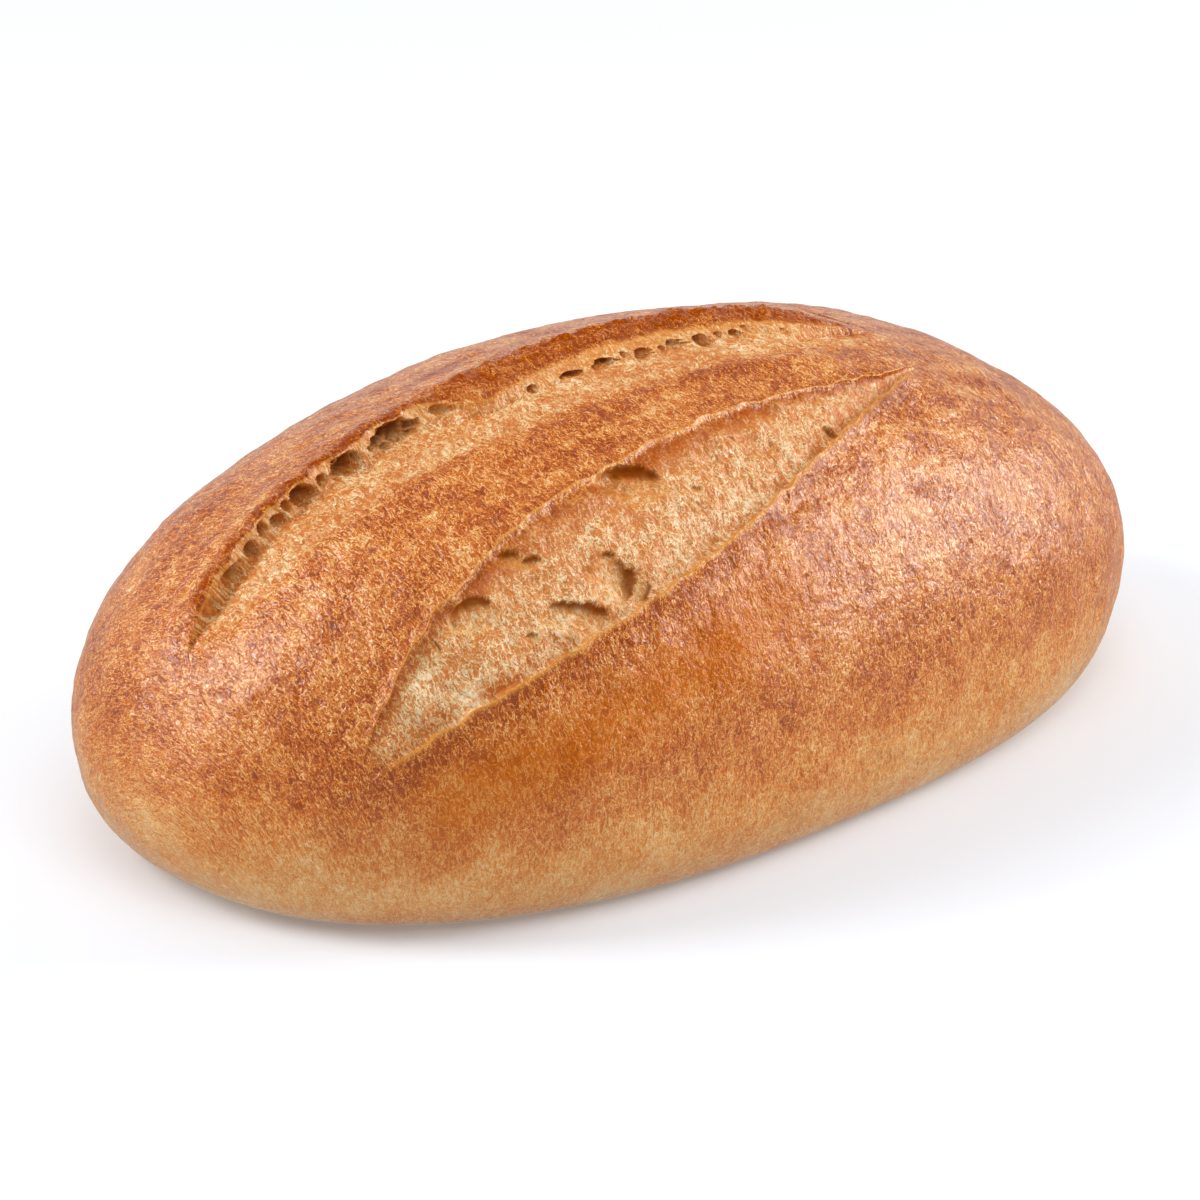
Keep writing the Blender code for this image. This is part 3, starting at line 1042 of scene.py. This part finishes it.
@dataclass(frozen=True)
class CrustPatch(Patch):
    """A stretch of plain crust between two lines, in one or more lengths."""

    name: str
    start: Line
    end: Line
    columns: int
    splits: tuple[float, ...] = ()

    def grid(self, station: Array) -> Grid:
        """Lays the columns evenly from the first line to the last.

        Args:
            station: the rings, in radians.

        Returns:
            The patch.
        """
        lines = self.layout.lines(station)
        low, high = lines[self.start], lines[self.end]
        high = np.where(high < low, high + 2 * math.pi, high)
        share = np.linspace(0, 1, self.columns + 1)
        return Grid(station, share, low[:, None] + (high - low)[:, None] * share)

    def build(self, station: Array) -> list[Piece]:
        """Makes the crust's meshes.

        Args:
            station: all rings of the loaf, in radians.

        Returns:
            One piece for each length.
        """
        pieces = []
        ends = [0.0, *self.splits, 180.0]
        for number, (low, high) in enumerate(zip(ends, ends[1:]), 1):
            grid = self.grid(within(station, low, high))
            name = f"{self.name}_{number}" if self.splits else self.name
            place = (grid.rings, grid.turn)
            points, chart = self.form.surface(*place), self.form.chart(*place)
            pieces.append(self.finish(name, grid, points, chart, self.bake_map.crust(*place)))
        return pieces


def add(tree: Tree, kind: str, inputs: dict[str | int, object] | None = None, **settings: object) -> Node:
    """Adds a node with its settings, values and links.

    Args:
        tree: the node tree.
        kind: the node's type.
        inputs: a value or another node's output for each input named or numbered.
        settings: the node's own properties.

    Returns:
        The new node.
    """
    made = tree.nodes.new(kind)
    for name, value in settings.items():
        setattr(made, name, value)
    for key, value in (inputs or {}).items():
        if isinstance(value, Socket):
            tree.links.new(value, made.inputs[key])
        else:
            made.inputs[key].default_value = value
    return made


def weigh(tree: Tree, base: object, *parts: tuple[Socket, object]) -> Socket:
    """Adds up a base and each part times its weight.

    Args:
        tree: the node tree.
        base: a number or socket.
        parts: pairs of a socket and its weight, a number or socket.

    Returns:
        The sum.
    """
    for part, weight in parts:
        inputs = {0: part, 1: weight, 2: base}
        base = add(tree, "ShaderNodeMath", inputs, operation="MULTIPLY_ADD").outputs[0]
    return base


@dataclass(frozen=True)
class BakedDough:
    """Baked spelt dough, from pale torn crumb to dark crust: a thin starch gloss over fine wrinkles.

    One finish covers every piece, because crumb browns into crust with no line between them. The
    marks on each mesh say how far it baked, where it tore, where rims and pores are, and where
    shade and light are painted.
    """

    name: str = "baked_spelt_dough"
    tones: tuple[tuple[float, str], ...] = (
        (0.00, "#f4dfb8"),
        (0.20, "#e8bd82"),
        (0.40, "#dd9a4c"),
        (0.56, "#d0761c"),
        (0.70, "#bd5a0e"),
        (0.84, "#a04408"),
        (1.00, "#702a06"),
    )
    stains: tuple[tuple[Mark, float, str], ...] = (
        (Mark.AMBER, 0.5, "#c46404"),
        # The lips' yellow-orange, also used as painted light on pore floors, rims and the ridge's edge.
        (Mark.RIM_AND_PAINTED_LIGHT, 0.75, "#e39a38"),
        # The brown of painted shade, and of the ear ridge's darker tone.
        (Mark.PAINTED_SHADE_AND_RIDGE_TONE, 0.9, "#84400c"),
    )
    line_width: float = 1 / 15  # in the field's own values
    stroke_width: float = 0.9 * MM
    stroke_length: float = 1.9 * MM
    curl: float = 0.8 * MM
    blister: float = 2.4 * MM
    patch: float = 7 * MM
    scorch_start: float = 0.62  # bake from which flecks grow stronger and the gloss goes
    # Weighs the painted-shade mark, which also darkens the ear's ridge.
    calm_by_painted_shade_and_ridge_tone: float = -0.75  # how much weaker flecks and relief are in pores
    relief: tuple[float, float] = (0.32 * MM, 0.18 * MM)  # of crust, and what crumb adds
    roughness: tuple[float, float] = (0.17, 0.20)  # of crust, and what crumb adds
    gloss: float = 0.95

    def field(self, tree: Tree, place: Socket, size: float, detail: float = 2, twist: float = 0.8) -> Socket:
        """Makes a random field about zero.

        Args:
            tree: the node tree.
            place: what it is read at, in metres.
            size: its features' size in metres.
            detail: how many finer octaves it has.
            twist: how far it is distorted.

        Returns:
            Values from -0.5 to 0.5.
        """
        inputs = {"Vector": place, "Scale": 1 / size, "Detail": detail, "Roughness": 0.55}
        made = add(tree, "ShaderNodeTexNoise", {**inputs, "Distortion": twist})
        return weigh(tree, -0.5, (made.outputs["Fac"], 1.0))

    def lines(self, tree: Tree, field: Socket) -> Socket:
        """Makes fine curly lines, 1 along the field's zero and 0 beside it.

        Args:
            tree: the node tree.
            field: the field.

        Returns:
            Values from 0 to 1.
        """
        away = add(tree, "ShaderNodeMath", {0: field}, operation="ABSOLUTE").outputs[0]
        ends = {"Value": away, "From Max": self.line_width, "To Min": 1.0, "To Max": 0.0}
        return add(tree, "ShaderNodeMapRange", ends).outputs["Result"]

    def material(self) -> bpy.types.Material:
        """Builds the node tree.

        How far each place baked picks its tone on a ramp. Random drift about that gives the flecks:
        fine light wrinkle lines, partly pale flour flecks and partly painted glints on their crests,
        blisters of 2 mm and patches of 7 mm, weaker low on the sides and in pores. The same fields raise
        the bump. Dark crust, pores and the golden stretch shine less.

        Returns:
            The material.
        """
        material = bpy.data.materials.new(self.name)
        material.use_nodes = True
        tree = material.node_tree
        shader = tree.nodes["Principled BSDF"]
        place = add(tree, "ShaderNodeTexCoord").outputs["Object"]
        flat = add(tree, "ShaderNodeUVMap", uv_map=CHART).outputs[0]
        mark = {m: add(tree, "ShaderNodeAttribute", attribute_name=m.value).outputs["Fac"] for m in Mark}

        squeeze = (1.0, self.stroke_width / self.stroke_length, 1.0)
        drawn = add(tree, "ShaderNodeMapping", {"Vector": flat, "Scale": squeeze}).outputs[0]
        strokes = self.field(tree, drawn, self.stroke_width)
        curls = self.field(tree, place, self.curl)
        blisters = self.field(tree, place, self.blister, 3.0, 0.5)
        patches = self.field(tree, place, self.patch, 3.0, 0.0)
        lines = weigh(tree, self.lines(tree, strokes), (self.lines(tree, curls), 0.8))

        above = add(tree, "ShaderNodeSeparateXYZ", {"Vector": place}).outputs["Z"]
        ends = {"Value": above, "From Min": 8 * MM, "From Max": 40 * MM, "To Min": 0.5}
        upper = add(tree, "ShaderNodeMapRange", ends).outputs["Result"]
        ends = {"Value": mark[Mark.BAKE], "From Min": self.scorch_start, "From Max": self.scorch_start + 1}
        scorched = add(tree, "ShaderNodeMapRange", ends).outputs["Result"]
        share = weigh(tree, upper, (mark[Mark.CRUMB], 0.30), (scorched, 1.6))
        calm = weigh(tree, 1.0, (mark[Mark.PAINTED_SHADE_AND_RIDGE_TONE], self.calm_by_painted_shade_and_ridge_tone))
        # The pale lines are partly flour flecks and partly painted glints on the wrinkles' crests.
        drift = weigh(tree, 0.22, (lines, -0.40), (patches, 0.45), (blisters, -0.38), (strokes, -0.30))
        drift = weigh(tree, mark[Mark.BAKE], (drift, weigh(tree, 0.0, (share, calm))))
        darkest = weigh(tree, 0.92, (mark[Mark.CRUMB], -0.32))
        baked = add(tree, "ShaderNodeMath", {0: drift, 1: darkest}, operation="MINIMUM").outputs[0]
        tones = add(tree, "ShaderNodeValToRGB", {"Fac": baked})
        elements = tones.color_ramp.elements
        elements[0].position, elements[0].color = self.tones[0][0], linear(self.tones[0][1])
        elements[1].position, elements[1].color = self.tones[-1][0], linear(self.tones[-1][1])
        for position, tone in self.tones[1:-1]:
            elements.new(position).color = linear(tone)
        colour = tones.outputs["Color"]
        for kind, strength, tone in self.stains:
            inputs = {0: weigh(tree, 0.0, (mark[kind], strength)), 6: colour, 7: linear(tone)}
            colour = add(tree, "ShaderNodeMix", inputs, data_type="RGBA").outputs[2]
        tree.links.new(colour, shader.inputs["Base Color"])

        height = weigh(tree, strokes, (lines, 0.08), (blisters, 1.6), (curls, 0.6))
        reach = weigh(tree, 0.0, (weigh(tree, self.relief[0], (mark[Mark.CRUMB], self.relief[1])), calm))
        bump = add(tree, "ShaderNodeBump", {"Height": height, "Strength": 1.0, "Distance": reach})
        tree.links.new(bump.outputs[0], shader.inputs["Normal"])
        roughness = weigh(tree, self.roughness[0], (mark[Mark.CRUMB], self.roughness[1]))
        tree.links.new(roughness, shader.inputs["Roughness"])
        shader.inputs["IOR"].default_value = 1.5
        losses = ((mark[Mark.PAINTED_SHADE_AND_RIDGE_TONE], -0.9), (mark[Mark.AMBER], -0.6), (scorched, -2.6))
        sheen = {0: weigh(tree, self.gloss, *losses), 1: 0.0}
        sheen = add(tree, "ShaderNodeMath", sheen, operation="MAXIMUM").outputs[0]
        shader.inputs["Specular IOR Level"].default_value = 0.8
        tree.links.new(sheen, shader.inputs["Specular IOR Level"])
        shader.inputs["Specular Tint"].default_value = linear("#fffaf0")
        return material


@dataclass(frozen=True)
class Softbox:
    """One rectangular light that faces the loaf, and whether it shows in the loaf's gloss."""

    name: str
    direction: tuple[float, float, float]
    size: tuple[float, float]
    power: float
    glossy: bool = False

    def hang(self, aim: Vector, distance: float) -> None:
        """Hangs the light, facing the aim.

        Args:
            aim: the place it lights.
            distance: metres from there to the light.
        """
        data = bpy.data.lights.new(self.name, "AREA")
        data.shape = "RECTANGLE"
        data.size, data.size_y = self.size
        data.energy = self.power
        light = put(self.name, data)
        towards = Vector(self.direction).normalized()
        light.location = aim + distance * towards
        light.rotation_euler = (-towards).to_track_quat("-Z", "Y").to_euler()
        light.visible_glossy = self.glossy


@dataclass(frozen=True)
class Studio:
    """The floor, the soft lights and the camera."""

    elevation: float = 21.79
    azimuth: float = -44.6
    distance: float = 1.03
    lens: float = 156.9
    aim: tuple[float, float, float] = (-4.99 * MM, -0.67 * MM, 30.04 * MM)
    floor_size: float = 6.0
    floor_colour: str = "#d5d9df"
    floor_glow: float = 0.17
    sky: float = 0.30
    table: float = 0.50
    light_distance: float = 1.3
    softboxes: tuple[Softbox, ...] = (
        Softbox("softbox_right", (0.80, -0.45, 0.38), (0.75, 0.60), 12.6, True),
        Softbox("softbox_left", (-0.62, 0.52, 0.58), (0.5, 0.75), 12.0, True),
        Softbox("softbox_over", (0.0, 0.0, 1.0), (1.2, 1.2), 2.2),
        Softbox("softbox_front", (-0.25, -0.47, 0.84), (0.9, 0.9), 6.2),
        Softbox("backdrop", (0.35, 0.80, 0.48), (1.6, 1.0), 3.0),
        Softbox("backdrop_low", (0.62, 0.72, 0.06), (2.2, 0.4), 1.1, True),
    )

    def back(self) -> Vector:
        """Finds which way the camera lies from the aim.

        Returns:
            A unit vector.
        """
        azimuth, elevation = math.radians(self.azimuth), math.radians(self.elevation)
        level = math.cos(elevation)
        return Vector((math.sin(azimuth) * level, -math.cos(azimuth) * level, math.sin(elevation)))

    def camera(self) -> None:
        """Places the camera at the photograph's angle and makes it the scene's."""
        data = bpy.data.cameras.new("camera")
        data.lens = self.lens
        data.sensor_width = 36.0
        data.clip_start = 0.05
        camera = put("camera", data)
        camera.location = Vector(self.aim) + self.distance * self.back()
        camera.rotation_euler = (-self.back()).to_track_quat("-Z", "Y").to_euler()
        bpy.context.scene.camera = camera

    def floor(self) -> None:
        """Lays a plain pale floor just under the loaf.

        It glows a little, as a backlit studio table does, which keeps it white round the loaf.
        """
        half, depth = self.floor_size / 2, -0.2 * MM
        mesh = bpy.data.meshes.new("floor")
        corners = [(-half, -half, depth), (half, -half, depth), (half, half, depth), (-half, half, depth)]
        mesh.from_pydata(corners, [], [(0, 1, 2, 3)])
        floor = put("floor", mesh)
        floor.visible_glossy = False
        material = bpy.data.materials.new("backlit_white_table")
        material.use_nodes = True
        shader = material.node_tree.nodes["Principled BSDF"]
        shader.inputs["Base Color"].default_value = linear(self.floor_colour)
        shader.inputs["Roughness"].default_value = 0.9
        shader.inputs["Specular IOR Level"].default_value = 0.0
        shader.inputs["Emission Color"].default_value = linear("#ffffff")
        shader.inputs["Emission Strength"].default_value = self.floor_glow
        mesh.materials.append(material)

    def build(self) -> None:
        """Sets up all of it.

        The sky is even, and brighter below the horizon, as the white table is where the gloss
        reflects it.
        """
        world = bpy.data.worlds.new("studio")
        world.use_nodes = True
        background = world.node_tree.nodes["Background"]
        background.inputs["Color"].default_value = linear("#ffffff")
        heading = add(world.node_tree, "ShaderNodeTexCoord").outputs["Generated"]
        up = add(world.node_tree, "ShaderNodeSeparateXYZ", {"Vector": heading}).outputs["Z"]
        ends = {"Value": up, "From Min": -0.12, "From Max": 0.05, "To Min": self.table, "To Max": self.sky}
        strength = add(world.node_tree, "ShaderNodeMapRange", ends).outputs["Result"]
        world.node_tree.links.new(strength, background.inputs["Strength"])
        bpy.context.scene.world = world
        bpy.context.scene.view_settings.view_transform = "Standard"
        self.floor()
        for softbox in self.softboxes:
            softbox.hang(Vector(self.aim), self.light_distance)
        self.camera()


def main() -> None:
    """Builds every piece in order and reports each one."""
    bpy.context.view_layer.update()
    low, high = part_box(CAD_NODE)
    size = high - low
    form = LoafForm(length=size.x, width=size.y, arch=size.z - EAR_RISE)
    layout = Layout()
    bake_map = BakeMap(form, layout)
    station = layout.stations()
    middle = (layout.middle_station,)

    Studio().build()
    loaf = (form, layout, bake_map, BakedDough().material())
    patches = (
        CrustPatch(*loaf, "front_crust", Line.FRONT_FOOT, Line.FRONT_OUTER, 178, middle),
        FrontCut(*loaf),
        CrustPatch(*loaf, "crest_crust", Line.FRONT_INNER, Line.BACK_OUTER, 96),
        BackCut(*loaf),
        CrustPatch(*loaf, "back_crust", Line.BACK_INNER, Line.BACK_FOOT, 176, middle),
        CrustPatch(*loaf, "base_crust", Line.BACK_FOOT, Line.FRONT_FOOT, 44),
    )
    for patch in patches:
        for piece in patch.build(station):
            log.info("%s: %d faces", piece.name, len(piece.data.polygons))


if __name__ == "__main__":
    logging.basicConfig(level=logging.INFO, format="%(message)s")
    main()
